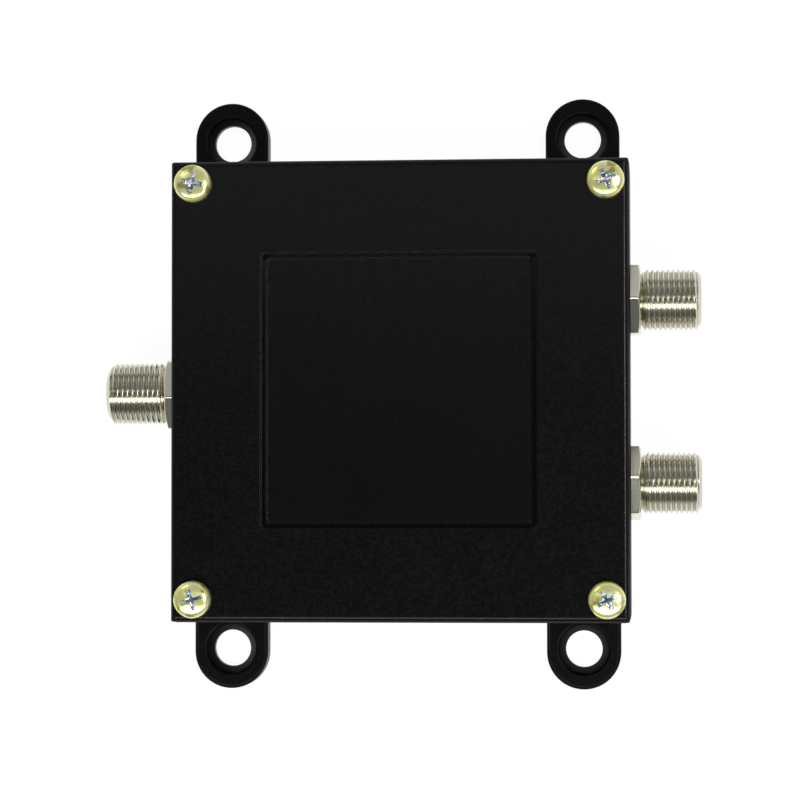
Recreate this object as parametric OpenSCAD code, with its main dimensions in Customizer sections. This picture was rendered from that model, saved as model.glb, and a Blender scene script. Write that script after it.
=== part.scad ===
// Coaxial tap: a flat die-cast box with one socket on the left and two on the right.
// It lies on its base, lid up. The origin is the middle of the base plane.

/* [Box] */
// Width of the box, left to right, between the socket walls
body_w = 71; // [60:0.5:90]
// Depth of the box, front to back, between the ear walls
body_d = 71.5; // [60:0.5:90]
// Height of the closed box, without the screw heads
body_h = 18; // [17.5:0.5:26]
// Wall of the tub
wall = 2.5; // [1.8:0.1:3.2]
// Floor of the tub
floor_t = 2; // [1.2:0.1:3]
// Radius of the box's upright corners
corner_r = 0.9; // [0.3:0.1:1.5]

/* [Lid] */
// Thickness of the lid plate
lid_t = 2; // [1.4:0.1:3]
// How far the lid stands back from the tub's outline
lid_inset = 0.1; // [0:0.05:0.3]
// Radius along the lid's top edges
lid_edge_r = 0.7; // [0.2:0.1:1]
// Depth of the locating lip under the lid
lip_h = 0.8; // [0.3:0.1:1]
// Width of the locating lip
lip_w = 1.2; // [0.8:0.1:2]
// Gap between the lip and the tub's walls and posts
lip_gap = 0.2; // [0.1:0.05:0.4]
// Width of the square recess for the label
recess_w = 41.9; // [30:0.1:46]
// Depth of the recess
recess_h = 0.5; // [0.3:0.05:0.8]
// Gap between the label and the recess on each side
label_gap = 0.7; // [0.3:0.1:1.5]
// Thickness of the label
label_t = 0.2; // [0.1:0.05:0.25]
// Radius of the label's corners
label_corner_r = 0.8; // [0:0.1:2]

/* [Mounting ears] */
// Spacing of the ear holes, left to right
ear_span_x = 56; // [44:0.5:56.5]
// Distance from the box wall to the ear hole's centre
ear_reach = 4.6; // [4.4:0.1:8]
// Width of an ear, which is twice its end radius
ear_w = 11.7; // [10.4:0.1:14]
// Thickness of an ear
ear_t = 3.2; // [2.6:0.1:5]
// How far the round end's centre lies beyond the hole
ear_nose = 0.5; // [0:0.1:1.5]
// Diameter of the ear hole
ear_hole_d = 5.8; // [4.5:0.1:6.2]
// Top diameter of the dished sink round the hole
ear_sink_d = 8.1; // [7.2:0.1:8.6]
// Depth of the sink
ear_sink_h = 1.7; // [1:0.1:2]
// Radius along the ear's top edge
ear_edge_r = 0.5; // [0.2:0.1:0.8]
// Radius of the sink's rounded rim
ear_rim_r = 0.45; // [0.2:0.05:0.5]

/* [Lid screws] */
// Distance of each lid screw from the two nearest sides
lid_screw_inset = 3.6; // [3.2:0.1:4.2]
// Thread diameter of a lid screw
lid_screw_d = 3; // [2.5:0.5:3]
// Length of a lid screw under its head
lid_screw_l = 8; // [6:0.5:12]
// Pitch of a lid screw's thread
lid_screw_pitch = 0.5; // [0.4:0.05:0.6]
// Head diameter of a lid screw
lid_head_d = 5.8; // [5:0.1:6.2]
// Head height of a lid screw
lid_head_h = 2.2; // [1.6:0.1:2.4]
// Radius of the corner posts that take the lid screws
post_r = 3.2; // [2.8:0.1:3.4]

/* [Sockets] */
// Spacing of the two sockets on the right
port_span = 28.5; // [20:0.5:36]
// Outer diameter of the socket thread, 3/8 inch
thread_d = 9.525; // [9.525]
// Pitch of the socket thread, 32 to the inch
thread_pitch = 0.79375; // [0.79375]
// How far a socket stands out from the wall
port_reach = 11; // [10:0.5:16]
// Width across the flats of the flange
flange_af = 10.7; // [10.4:0.1:11.2]
// Thickness of the flange
flange_t = 1.6; // [1.2:0.1:2.4]
// Length of the neck between the flange and the thread
neck_l = 0.8; // [0.5:0.1:1.2]
// Width across the flats of the inside nut
nut_af = 11.11; // [10.8:0.01:11.2]
// Thickness of the inside nut
nut_t = 2; // [1.5:0.1:2.4]
// Outer diameter of the lock washer
washer_d = 11.9; // [11.4:0.1:12]
// Thickness of the lock washer
washer_t = 0.5; // [0.3:0.1:0.8]
// How far the shell ends behind the nut
shell_tail = 0.8; // [0.4:0.1:1.5]
// Bore of the shell
shell_bore_d = 5.6; // [5.2:0.1:6]
// Bore of the centre contact, for a 1.02 mm wire
contact_bore_d = 1.1; // [1.06:0.02:1.2]
// Depth of the contact's bore
contact_bore_l = 5.5; // [5:0.5:8]
// Wall of the contact tube
contact_wall = 0.4; // [0.3:0.05:0.5]
// How far the contact's mouth lies behind the socket's end
contact_setback = 2.4; // [2:0.1:3]
// Diameter of the tail pin
pin_d = 1; // [0.8:0.1:1.2]
// How far the tail pin reaches over the board
pin_over_board = 2.7; // [2:0.1:4]

/* [Board] */
// Thickness of the board without its copper
board_t = 1.5; // [1:0.1:1.6]
// Thickness of the copper
copper_t = 0.07; // [0.035:0.005:0.1]
// Gap between the board and the sockets' inner ends
board_end_gap = 0.8; // [0.5:0.1:2]
// Gap between the board and the corner posts
board_side_gap = 0.5; // [0.3:0.1:2]
// Distance of a board screw from the board's edges
board_screw_inset = 3.5; // [3:0.1:4.5]
// Thread diameter of a board screw
board_screw_d = 2.5; // [2:0.5:2.5]
// Length of a board screw under its head
board_screw_l = 5; // [4:0.5:5]
// Head diameter of a board screw
board_head_d = 4.5; // [4:0.1:5]
// Head height of a board screw
board_head_h = 1.6; // [1.2:0.1:1.8]
// Pitch of a board screw's thread
board_screw_pitch = 0.45; // [0.4:0.05:0.5]
// Radius of the bosses under the board
boss_r = 2.6; // [2.3:0.1:3]
// Radius of the board's corners
board_corner_r = 0.8; // [0:0.1:2]

/* [Divider] */
// Number of sections in the divider
sections = 3; // [2:1:4]
// Width of the feed lines
feed_w = 2.2; // [1.6:0.1:2.6]
// Width of the output lines
out_w = 1.3; // [0.8:0.1:1.4]
// Width of the thick branch
main_w = 1.6; // [1:0.1:2]
// Width of the thin branch
tap_w = 0.8; // [0.5:0.1:1.2]
// Length of the input line from the board's edge to the first section
feed_in_l = 6; // [5:0.5:8]
// Length from the last section to the board's right edge
feed_out_l = 12; // [11:0.5:14]
// Half the gap between the branches
branch_gap = 0.8; // [0.6:0.1:1.1]
// Inner bend radius of the output lines
line_bend_r = 1.6; // [1:0.1:2]
// Length of a chip resistor
chip_l = 3.2; // [2.6:0.1:3.6]
// Width of a chip resistor
chip_w = 1.6; // [1.2:0.1:1.8]
// Thickness of a chip resistor
chip_t = 0.6; // [0.4:0.05:0.8]
// Length of a resistor's end cap
chip_cap_l = 0.5; // [0.3:0.05:0.6]

/* [Hidden] */
$fn = 64;

// Finishes
coat_black = [0.06, 0.06, 0.065];
label_black = [0.08, 0.08, 0.08];
nickel = [0.72, 0.71, 0.67];
yellow_zinc = [0.83, 0.78, 0.45];
white_plastic = [0.93, 0.92, 0.88];
gold_brass = [0.85, 0.7, 0.35];
board_green = [0.1, 0.35, 0.22];
copper = [0.8, 0.48, 0.3];
chip_black = [0.12, 0.12, 0.13];
tin = [0.78, 0.78, 0.8];
steel = [0.68, 0.68, 0.7];

// Clearances
through_gap = 0.14;
thread_gap = 0.05;
seat_gap = 0.02;
screw_hole_gap = 0.15;
screw_tip_room = 1;
board_tip_room = 0.5;
cut = 1;

// Shape of a pan head and its cross recess, as shares of the head or of the thread's diameter
crown_share = 0.84;
head_rim_share = 0.36;
recess_width_share = 0.3;
recess_length_share = 1.16;
recess_depth_share = 0.62;
recess_tip_share = 0.7;
recess_slope = 0.6;

// Box levels and places
tub_h = body_h - lid_t;
post_x = body_w / 2 - lid_screw_inset;
post_y = body_d / 2 - lid_screw_inset;
post_hole_depth = lid_screw_l - lid_t + screw_tip_room;
ear_y = body_d / 2 + ear_reach;
axis_h = body_h / 2;

// Socket stations, measured outwards from the wall's outer face
thread_from = flange_t + neck_l;
nut_outer = -wall - washer_t;
nut_inner = nut_outer - nut_t;
shell_back = nut_inner - shell_tail;
contact_mouth = port_reach - contact_setback;
contact_root = contact_mouth - contact_bore_l;
contact_r = contact_bore_d / 2 + contact_wall;
insulator_over_root = 1.6;
insulator_back = contact_root + insulator_over_root;
insulator_recess = 0.4;
rear_insulator_t = 2.2;
mouth_chamfer = 0.3;
pin_back = shell_back - board_end_gap - pin_over_board;

// Thread form: 60 degrees, an eighth of the pitch flat at the crest
crest_share = 1 / 8;
root_share = 1 / 4;
thread_depth_share = 0.5413;
pitch_line_share = 0.3248;
rear_thread_r = thread_d / 2 - pitch_line_share * thread_pitch;

// Board levels and size
track_top = axis_h - pin_d / 2;
board_top = track_top - copper_t;
board_bottom = board_top - board_t;
boss_top = board_bottom - copper_t;
board_w = body_w + 2 * (shell_back - board_end_gap);
board_d = body_d - 2 * (lid_screw_inset + post_r + board_side_gap);
board_screw_x = board_w / 2 - board_screw_inset;
board_screw_y = board_d / 2 - board_screw_inset;
boss_hole_depth = board_screw_l - board_t - 2 * copper_t + board_tip_room;
boss_hole_r = board_screw_d / 2 + thread_gap;
copper_margin = 0.5;

// Divider places
divider_x = -board_w / 2 + feed_in_l;
divider_end_x = board_w / 2 - feed_out_l;
section_l = (divider_end_x - divider_x) / sections;
pad_over_chip = 0.5;
pad_l = chip_l / 2 - branch_gap + pad_over_chip;
riser_share = 0.4;
line_y = branch_gap + out_w / 2;

// Each socket: side of the box, place along Y, turn of its flange
function port_place(name) =
    name == "input" ? [-1, 0, -8] :
    name == "output" ? [1, port_span / 2, 0] :
    [1, -port_span / 2, -10];

// Each corner: its side along X and along Y
function corner(name) =
    name == "front_left" ? [-1, -1] :
    name == "front_right" ? [1, -1] :
    name == "back_left" ? [-1, 1] :
    [1, 1];

// A rectangle with round corners, centred
module round_rect(w, d, r) {
    square([w - 2 * r, d], center = true);
    square([w, d - 2 * r], center = true);
    for (sx = [-1, 1], sy = [-1, 1])
        translate([sx * (w / 2 - r), sy * (d / 2 - r)])
            circle(r);
}

// Half of a plate's cross-section from its middle, with its top corner rounded
module edge_profile(half_w, t, r) {
    square([half_w, t - r]);
    square([half_w - r, t]);
    translate([half_w - r, t - r])
        circle(r);
}

// A plate's whole cross-section, with both top corners rounded
module plate_profile(w, t, r) {
    edge_profile(w / 2, t, r);
    mirror([1, 0])
        edge_profile(w / 2, t, r);
}

// A rectangular plate on z = 0 with rounded upright corners and top edges
module rounded_plate(w, d, t, upright_r, edge_r) {
    intersection() {
        linear_extrude(t)
            round_rect(w, d, upright_r);
        rotate([90, 0, 0])
            linear_extrude(d + 2 * cut, center = true)
                plate_profile(w, t, edge_r);
        rotate([90, 0, 90])
            linear_extrude(w + 2 * cut, center = true)
                plate_profile(d, t, edge_r);
    }
}

module at_corners(x, y) {
    for (sx = [-1, 1], sy = [-1, 1])
        translate([sx * x, sy * y, 0])
            children();
}

// The sink round an ear hole: a cone whose rim is rounded, cut downwards from z = 0
module ear_sink() {
    top_r = ear_sink_d / 2;
    low_r = ear_hole_d / 2;
    slant = sqrt(pow(top_r - low_r, 2) + pow(ear_sink_h, 2));
    rim_angle = acos((low_r - top_r) / slant);
    run = ear_rim_r / tan(rim_angle / 2);
    rotate_extrude()
        difference() {
            polygon([
                [0, cut],
                [top_r + run, cut],
                [top_r + run, -ear_rim_r],
                [top_r + run * (low_r - top_r) / slant, -run * ear_sink_h / slant],
                [low_r, -ear_sink_h],
                [0, -ear_sink_h]
            ]);
            translate([top_r + run, -ear_rim_r])
                circle(ear_rim_r);
        }
}

// One ear, its hole at the origin and the box towards -Y
module ear_blank() {
    half_w = ear_w / 2;
    translate([0, ear_nose, 0])
        intersection() {
            rotate_extrude()
                edge_profile(half_w, ear_t, ear_edge_r);
            translate([-ear_w, 0, -cut])
                cube([2 * ear_w, ear_w, ear_t + 2 * cut]);
        }
    translate([0, ear_nose, 0])
        rotate([90, 0, 0])
            linear_extrude(ear_reach + ear_nose + wall / 2)
                plate_profile(ear_w, ear_t, ear_edge_r);
}

module ear_hole() {
    translate([0, 0, -cut])
        cylinder(h = ear_t + 2 * cut, d = ear_hole_d);
    translate([0, 0, ear_t])
        ear_sink();
}

module at_ears() {
    for (sx = [-1, 1], back = [0, 1])
        translate([sx * ear_span_x / 2, (2 * back - 1) * ear_y, 0])
            rotate([0, 0, back ? 0 : 180])
                children();
}

// Moves a piece drawn along +Z, outwards, to its socket's place on the wall
module at_port(name) {
    p = port_place(name);
    translate([p[0] * body_w / 2, p[1], axis_h])
        rotate([0, p[0] * 90, 0])
            rotate([0, 0, p[2]])
                children();
}

module housing() {
    inner_w = body_w - 2 * wall;
    inner_d = body_d - 2 * wall;
    color(coat_black)
        difference() {
            union() {
                difference() {
                    linear_extrude(tub_h)
                        round_rect(body_w, body_d, corner_r);
                    translate([-inner_w / 2, -inner_d / 2, floor_t])
                        cube([inner_w, inner_d, tub_h]);
                }
                intersection() {
                    at_corners(post_x, post_y)
                        cylinder(h = tub_h, r = post_r);
                    linear_extrude(tub_h)
                        square([body_w - wall, body_d - wall], center = true);
                }
                at_corners(board_screw_x, board_screw_y)
                    cylinder(h = boss_top, r = boss_r);
                at_ears()
                    ear_blank();
            }
            at_ears()
                ear_hole();
            at_corners(post_x, post_y)
                translate([0, 0, tub_h - post_hole_depth])
                    cylinder(h = post_hole_depth + cut, r = lid_screw_d / 2 + thread_gap);
            at_corners(board_screw_x, board_screw_y)
                translate([0, 0, boss_top - boss_hole_depth])
                    cylinder(h = boss_hole_depth + cut, r = boss_hole_r);
            for (name = ["input", "output", "tap"])
                at_port(name)
                    translate([0, 0, -wall - cut])
                        cylinder(h = wall + 2 * cut, r = thread_d / 2 + through_gap);
        }
}

// Room in the lid's lip for a socket's nut and washer, should they reach that high
module nut_room(name) {
    p = port_place(name);
    high = max(nut_af, washer_d) + 2 * lip_gap;
    wide = max(2 * nut_af / sqrt(3), washer_d) + 2 * lip_gap;
    at_port(name)
        rotate([0, 0, -p[2]])
            translate([-high / 2, -wide / 2, nut_inner - lip_gap])
                cube([high, wide, nut_t + washer_t + lip_gap]);
}

module lid() {
    lid_w = body_w - 2 * lid_inset;
    lid_d = body_d - 2 * lid_inset;
    lip_outer_w = body_w - 2 * (wall + lip_gap);
    lip_outer_d = body_d - 2 * (wall + lip_gap);
    color(coat_black)
        difference() {
            union() {
                translate([0, 0, tub_h])
                    rounded_plate(lid_w, lid_d, lid_t, corner_r, lid_edge_r);
                translate([0, 0, tub_h - lip_h])
                    linear_extrude(lip_h + lid_t / 4)
                        difference() {
                            square([lip_outer_w, lip_outer_d], center = true);
                            square([lip_outer_w - 2 * lip_w, lip_outer_d - 2 * lip_w], center = true);
                        }
            }
            at_corners(post_x, post_y) {
                cylinder(h = body_h + cut, r = lid_screw_d / 2 + screw_hole_gap);
                cylinder(h = tub_h, r = post_r + lip_gap);
            }
            for (name = ["input", "output", "tap"])
                nut_room(name);
            translate([0, 0, body_h - recess_h])
                linear_extrude(recess_h + cut)
                    square(recess_w, center = true);
        }
}

module label() {
    color(label_black)
        translate([0, 0, body_h - recess_h])
            linear_extrude(label_t)
                round_rect(recess_w - 2 * label_gap, recess_w - 2 * label_gap, label_corner_r);
}

// Outline of a screw's threaded shank, from its tip at y = 0 up to the head at y = length
module shank_profile(d, length, pitch) {
    r = d / 2;
    depth = thread_depth_share * pitch;
    tip = 0.5;
    turns = floor((length - tip - pitch) / pitch);
    difference() {
        polygon([[0, 0], [r - tip, 0], [r, tip], [r, length], [0, length]]);
        for (i = [0:turns - 1])
            translate([r, tip + (i + 0.5) * pitch])
                polygon([[cut, -pitch / 2], [0, -(1 - crest_share) * pitch / 2], [-depth, 0],
                    [0, (1 - crest_share) * pitch / 2], [cut, pitch / 2]]);
    }
}

// A pan-head screw with a cross recess, its head's seat at z = 0
module pan_screw(d, length, pitch, head_d, head_h, recess_turn) {
    head_r = head_d / 2;
    crown_r = head_d * crown_share;
    slot_w = d * recess_width_share;
    slot_l = d * recess_length_share;
    slot_h = head_h * recess_depth_share;
    tip_r = slot_w * recess_tip_share;
    mouth_r = slot_l / 2 + cut * recess_slope;
    difference() {
        union() {
            translate([0, 0, -length])
                rotate_extrude()
                    shank_profile(d, length, pitch);
            intersection() {
                rotate_extrude()
                    edge_profile(head_r, head_h, head_h * head_rim_share);
                translate([0, 0, head_h - crown_r])
                    sphere(crown_r);
            }
        }
        rotate([0, 0, recess_turn])
            for (a = [0, 90])
                rotate([0, 0, a])
                    intersection() {
                        translate([-slot_l / 2, -slot_w / 2, head_h - slot_h])
                            cube([slot_l, slot_w, head_h]);
                        translate([0, 0, head_h - slot_h])
                            cylinder(h = slot_h + cut, r1 = tip_r, r2 = mouth_r);
                    }
    }
}

module lid_screw(name, recess_turn) {
    c = corner(name);
    color(yellow_zinc)
        translate([c[0] * post_x, c[1] * post_y, body_h])
            pan_screw(lid_screw_d, lid_screw_l, lid_screw_pitch, lid_head_d, lid_head_h, recess_turn);
}

// A hexagonal plate from z = 0 up, its corners cut back by a shallow cone that starts inside the flats
module hex_plate(af, t) {
    bevel_inside = 0.07;
    bevel_slope = 0.32;
    corner_radius = af / sqrt(3);
    bevel_r = af / 2 - bevel_inside;
    outer_r = corner_radius + cut;
    drop = (outer_r - bevel_r) * bevel_slope;
    intersection() {
        cylinder(h = t, r = corner_radius, $fn = 6);
        rotate_extrude()
            polygon([[0, 0], [outer_r, 0], [outer_r, t - drop], [bevel_r, t], [0, t]]);
    }
}

// The shell's outside from the neck to its end: a thread of even rings with a chamfered end
module thread_profile() {
    r = thread_d / 2;
    depth = thread_depth_share * thread_pitch;
    neck_under_root = 0.2;
    neck_r = r - depth - neck_under_root;
    chamfer_l = 0.75;
    lead_l = 0.45;
    usable = port_reach - thread_from - lead_l - chamfer_l;
    turns = floor(usable / thread_pitch);
    half_flank = (1 - crest_share) * thread_pitch / 2;
    half_root = root_share * thread_pitch / 2;
    difference() {
        polygon([
            [0, 0],
            [neck_r, 0],
            [neck_r, thread_from],
            [r, thread_from + lead_l],
            [r, port_reach - chamfer_l],
            [r - chamfer_l, port_reach],
            [0, port_reach]
        ]);
        for (i = [0:turns - 1])
            translate([r, thread_from + lead_l + (i + 0.5) * (usable / turns)])
                polygon([[cut, -half_flank], [0, -half_flank], [-depth, -half_root],
                    [-depth, half_root], [0, half_flank], [cut, half_flank]]);
    }
}

module shell(name) {
    bore_r = shell_bore_d / 2;
    color(nickel)
        at_port(name)
            difference() {
                union() {
                    translate([0, 0, shell_back])
                        cylinder(h = flange_t / 2 - shell_back, r = rear_thread_r - seat_gap);
                    hex_plate(flange_af, flange_t);
                    rotate_extrude()
                        thread_profile();
                }
                translate([0, 0, shell_back - cut])
                    cylinder(h = port_reach - shell_back + 2 * cut, r = bore_r);
                translate([0, 0, port_reach - mouth_chamfer])
                    cylinder(h = 2 * mouth_chamfer, r1 = bore_r, r2 = bore_r + 2 * mouth_chamfer);
            }
}

module port_nut(name) {
    p = port_place(name);
    color(nickel)
        at_port(name)
            rotate([0, 0, 30 - p[2]])
                difference() {
                    translate([0, 0, nut_outer])
                        mirror([0, 0, 1])
                            hex_plate(nut_af, nut_t);
                    translate([0, 0, nut_inner - cut])
                        cylinder(h = nut_t + 2 * cut, r = rear_thread_r + seat_gap);
                }
}

// A flat ring with inner teeth
module port_washer(name) {
    teeth = 12;
    slit_w = 0.6;
    slit_l = 0.4;
    overlap = 0.3;
    inner_r = thread_d / 2 + through_gap;
    color(steel)
        at_port(name)
            translate([0, 0, nut_outer])
                linear_extrude(washer_t)
                    difference() {
                        circle(washer_d / 2);
                        circle(inner_r);
                        for (i = [0:teeth - 1])
                            rotate([0, 0, i * 360 / teeth])
                                translate([inner_r - overlap, -slit_w / 2])
                                    square([overlap + slit_l, slit_w]);
                    }
}

module insulator(name) {
    guide_flare = 0.65;
    guide_foot = 0.9;
    wire_gap = 0.2;
    pocket_gap = 0.1;
    hole_r = contact_bore_d / 2 + wire_gap;
    face = port_reach - insulator_recess;
    pocket_r = contact_r + pocket_gap;
    color(white_plastic)
        at_port(name)
            rotate_extrude()
                polygon([
                    [pocket_r, insulator_back],
                    [shell_bore_d / 2 - seat_gap, insulator_back],
                    [shell_bore_d / 2 - seat_gap, face],
                    [contact_r + guide_flare, face],
                    [hole_r, contact_mouth + guide_foot],
                    [hole_r, contact_mouth + seat_gap],
                    [pocket_r, contact_mouth + seat_gap]
                ]);
}

module rear_insulator(name) {
    color(white_plastic)
        at_port(name)
            translate([0, 0, shell_back])
                difference() {
                    cylinder(h = rear_insulator_t, d = shell_bore_d - 2 * seat_gap);
                    translate([0, 0, -cut])
                        cylinder(h = rear_insulator_t + 2 * cut, d = pin_d + 2 * seat_gap);
                }
}

// A slotted tube for the cable's centre wire, drawn down to a solid tail pin
module contact(name) {
    slot_w = 0.2;
    slot_over_root = 1.2;
    base_l = 0.6;
    taper_l = 0.3;
    edge = 0.15;
    color(gold_brass)
        at_port(name)
            difference() {
                rotate_extrude()
                    polygon([
                        [0, pin_back],
                        [pin_d / 2 - edge, pin_back],
                        [pin_d / 2, pin_back + edge],
                        [pin_d / 2, contact_root - base_l - taper_l],
                        [contact_r, contact_root - base_l],
                        [contact_r, contact_mouth - edge],
                        [contact_r - edge, contact_mouth],
                        [contact_bore_d / 2, contact_mouth],
                        [contact_bore_d / 2, contact_root],
                        [0, contact_root - taper_l]
                    ]);
                translate([-contact_r - cut, -slot_w / 2, contact_root + slot_over_root])
                    cube([2 * (contact_r + cut), slot_w, contact_bore_l]);
            }
}

module circuit_board() {
    color(board_green)
        translate([0, 0, board_bottom])
            linear_extrude(board_t)
                difference() {
                    round_rect(board_w, board_d, board_corner_r);
                    for (sx = [-1, 1], sy = [-1, 1])
                        translate([sx * board_screw_x, sy * board_screw_y])
                            circle(board_screw_d / 2 + screw_hole_gap);
                }
}

module ground_plane() {
    color(copper)
        translate([0, 0, boss_top])
            linear_extrude(copper_t)
                difference() {
                    round_rect(board_w - 2 * copper_margin, board_d - 2 * copper_margin, board_corner_r);
                    for (sx = [-1, 1], sy = [-1, 1])
                        translate([sx * board_screw_x, sy * board_screw_y])
                            circle(board_screw_d / 2 + screw_hole_gap);
                }
}

// A quarter of a bend of a line of width w, centred on the origin; quarter 0 is +X +Y, then anticlockwise
module bend(middle_r, w, quarter) {
    rotate([0, 0, quarter * 90])
        intersection() {
            difference() {
                circle(middle_r + w / 2);
                circle(middle_r - w / 2);
            }
            square(middle_r + w);
        }
}

// One branch on the +Y side: its half rings, resistor pads and the line to its socket
module branch(w) {
    ring_r = section_l / 2;
    port_y = port_span / 2;
    bend_r = line_bend_r + out_w / 2;
    riser_x = divider_end_x + (feed_out_l - copper_margin) * riser_share;
    for (i = [0:sections - 1])
        translate([divider_x + (i + 0.5) * section_l, 0])
            intersection() {
                difference() {
                    circle(ring_r + w / 2);
                    circle(ring_r - w / 2);
                }
                translate([-ring_r - w, i == 0 ? 0 : branch_gap])
                    square([2 * ring_r + 2 * w, ring_r + w]);
            }
    for (i = [1:sections])
        translate([divider_x + i * section_l - chip_w / 2, branch_gap])
            square([chip_w, pad_l]);
    translate([divider_end_x, branch_gap])
        square([riser_x - bend_r - divider_end_x, out_w]);
    translate([riser_x - bend_r, line_y + bend_r])
        bend(bend_r, out_w, 3);
    translate([riser_x - out_w / 2, line_y + bend_r])
        square([out_w, port_y - line_y - 2 * bend_r]);
    translate([riser_x + bend_r, port_y - bend_r])
        bend(bend_r, out_w, 1);
    translate([riser_x + bend_r, port_y - out_w / 2])
        square([board_w / 2 - copper_margin - riser_x - bend_r, out_w]);
    translate([board_w / 2 - copper_margin - pin_over_board, port_y - feed_w / 2])
        square([pin_over_board, feed_w]);
}

module divider_tracks() {
    color(copper)
        translate([0, 0, board_top])
            linear_extrude(copper_t)
                difference() {
                    union() {
                        translate([-board_w / 2 + copper_margin, -feed_w / 2])
                            square([feed_in_l - copper_margin + main_w / 2, feed_w]);
                        branch(main_w);
                        mirror([0, 1])
                            branch(tap_w);
                    }
                    translate([divider_x + section_l / 2, -branch_gap])
                        square([board_w, 2 * branch_gap]);
                }
}

// Places each chip resistor's middle across the gap between the branches
module at_chips() {
    for (i = [1:sections])
        translate([divider_x + i * section_l, 0, track_top])
            children();
}

module resistor_chips() {
    relief = 0.03;
    length = chip_l - 2 * chip_cap_l;
    color(chip_black)
        at_chips()
            translate([-chip_w / 2 + relief, -length / 2, relief])
                cube([chip_w - 2 * relief, length, chip_t - 2 * relief]);
}

module resistor_caps() {
    color(tin)
        at_chips()
            for (side = [-1, 1])
                translate([-chip_w / 2, side * (chip_l - chip_cap_l) / 2 - chip_cap_l / 2, 0])
                    cube([chip_w, chip_cap_l, chip_t]);
}

// A concave fillet: its foot at the origin, as high and as long as r
module fillet_profile(r) {
    difference() {
        square(r);
        translate([r, r])
            circle(r);
    }
}

module solder_joints() {
    chip_fillet = chip_t * 0.75;
    chip_end_gap = 0.1;
    pin_fillet = pin_d * 0.7;
    pin_half_w = pin_d * 0.42;
    pin_rise = pin_d * 0.72;
    pin_tip = 0.4;
    fuse = 0.02;
    joint_l = pin_over_board - copper_margin - pin_tip;
    color(tin) {
        at_chips()
            for (side = [0, 1])
                mirror([0, side, 0])
                    translate([-chip_w / 2 + chip_end_gap, chip_l / 2, 0])
                        rotate([90, 0, 90])
                            linear_extrude(chip_w - 2 * chip_end_gap)
                                fillet_profile(chip_fillet);
        for (name = ["input", "output", "tap"]) {
            p = port_place(name);
            translate([p[0] * (board_w / 2 - copper_margin - joint_l / 2), p[1], track_top])
                difference() {
                    rotate([90, 0, 90])
                        linear_extrude(joint_l, center = true) {
                            translate([-pin_half_w, 0])
                                square([2 * pin_half_w, pin_rise]);
                            for (side = [0, 1])
                                mirror([side, 0])
                                    translate([pin_half_w - fuse, 0])
                                        fillet_profile(pin_fillet);
                        }
                    translate([0, 0, pin_d / 2])
                        rotate([0, 90, 0])
                            cylinder(h = joint_l + 2 * cut, d = pin_d, center = true);
                }
        }
    }
}

module board_screws() {
    color(steel)
        for (sx = [-1, 1], sy = [-1, 1])
            translate([sx * board_screw_x, sy * board_screw_y, board_top])
                pan_screw(board_screw_d, board_screw_l, board_screw_pitch, board_head_d, board_head_h,
                    20 + 30 * sx + 15 * sy);
}

housing();
lid();
label();
lid_screw("front_left", 20);  // lid_screw_front_left
lid_screw("front_right", 30);  // lid_screw_front_right
lid_screw("back_left", 80);  // lid_screw_back_left
lid_screw("back_right", 26);  // lid_screw_back_right
shell("input");  // input_shell
shell("output");  // output_shell
shell("tap");  // tap_shell
port_nut("input");  // input_nut
port_nut("output");  // output_nut
port_nut("tap");  // tap_nut
port_washer("input");  // input_washer
port_washer("output");  // output_washer
port_washer("tap");  // tap_washer
insulator("input");  // input_insulator
insulator("output");  // output_insulator
insulator("tap");  // tap_insulator
rear_insulator("input");  // input_rear_insulator
rear_insulator("output");  // output_rear_insulator
rear_insulator("tap");  // tap_rear_insulator
contact("input");  // input_contact
contact("output");  // output_contact
contact("tap");  // tap_contact
circuit_board();
ground_plane();
divider_tracks();
resistor_chips();
resistor_caps();
solder_joints();
board_screws();
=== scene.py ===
# %% [markdown]
# A coaxial tap is a small flat box that sits in an aerial's cable run. One threaded socket takes
# the signal in, one passes most of it on, and one taps a little off for a nearby screen. This one
# is a black die-cast box with a screwed-on lid, four mounting ears and three nickel sockets.
#
# The measured solids come first. They fix where every piece lies and how it moves, so nothing
# here is fitted by eye. All lengths below are real ones, and +Z points up through the lid.

# %% Load the measured solids
import math

import bmesh
import bpy
import numpy as np
from mathutils import Matrix, Vector
from mathutils.geometry import tessellate_polygon


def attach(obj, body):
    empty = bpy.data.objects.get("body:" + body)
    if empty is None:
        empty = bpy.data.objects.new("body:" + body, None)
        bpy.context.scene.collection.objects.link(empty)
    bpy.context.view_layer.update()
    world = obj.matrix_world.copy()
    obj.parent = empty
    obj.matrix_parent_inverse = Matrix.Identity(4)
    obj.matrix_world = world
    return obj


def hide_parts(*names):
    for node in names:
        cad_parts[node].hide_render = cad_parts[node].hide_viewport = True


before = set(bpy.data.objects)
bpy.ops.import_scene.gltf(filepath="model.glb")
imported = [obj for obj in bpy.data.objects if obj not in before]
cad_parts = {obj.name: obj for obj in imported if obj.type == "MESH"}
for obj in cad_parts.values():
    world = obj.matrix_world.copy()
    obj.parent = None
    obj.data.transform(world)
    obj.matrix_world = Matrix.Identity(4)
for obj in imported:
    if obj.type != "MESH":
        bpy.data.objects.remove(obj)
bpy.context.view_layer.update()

mm = 0.001

# %% [markdown]
# A photograph fixes its own camera. The box's edges, its ear holes and the sockets' threads were
# measured in the picture, and a camera was fitted to them. It looks almost straight down from
# half a metre through a long lens, from a little to the right and in front of the middle. A long
# lens far away hides the box's sides almost wholly, which is why the picture looks so flat.

# %% The camera
eye = Vector((39.6, -17.9, 469.7)) * mm
aim = Vector((-0.54, -1.16, 9)) * mm
roll = 0.001
lens, sensor = 132.8, 36

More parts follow.
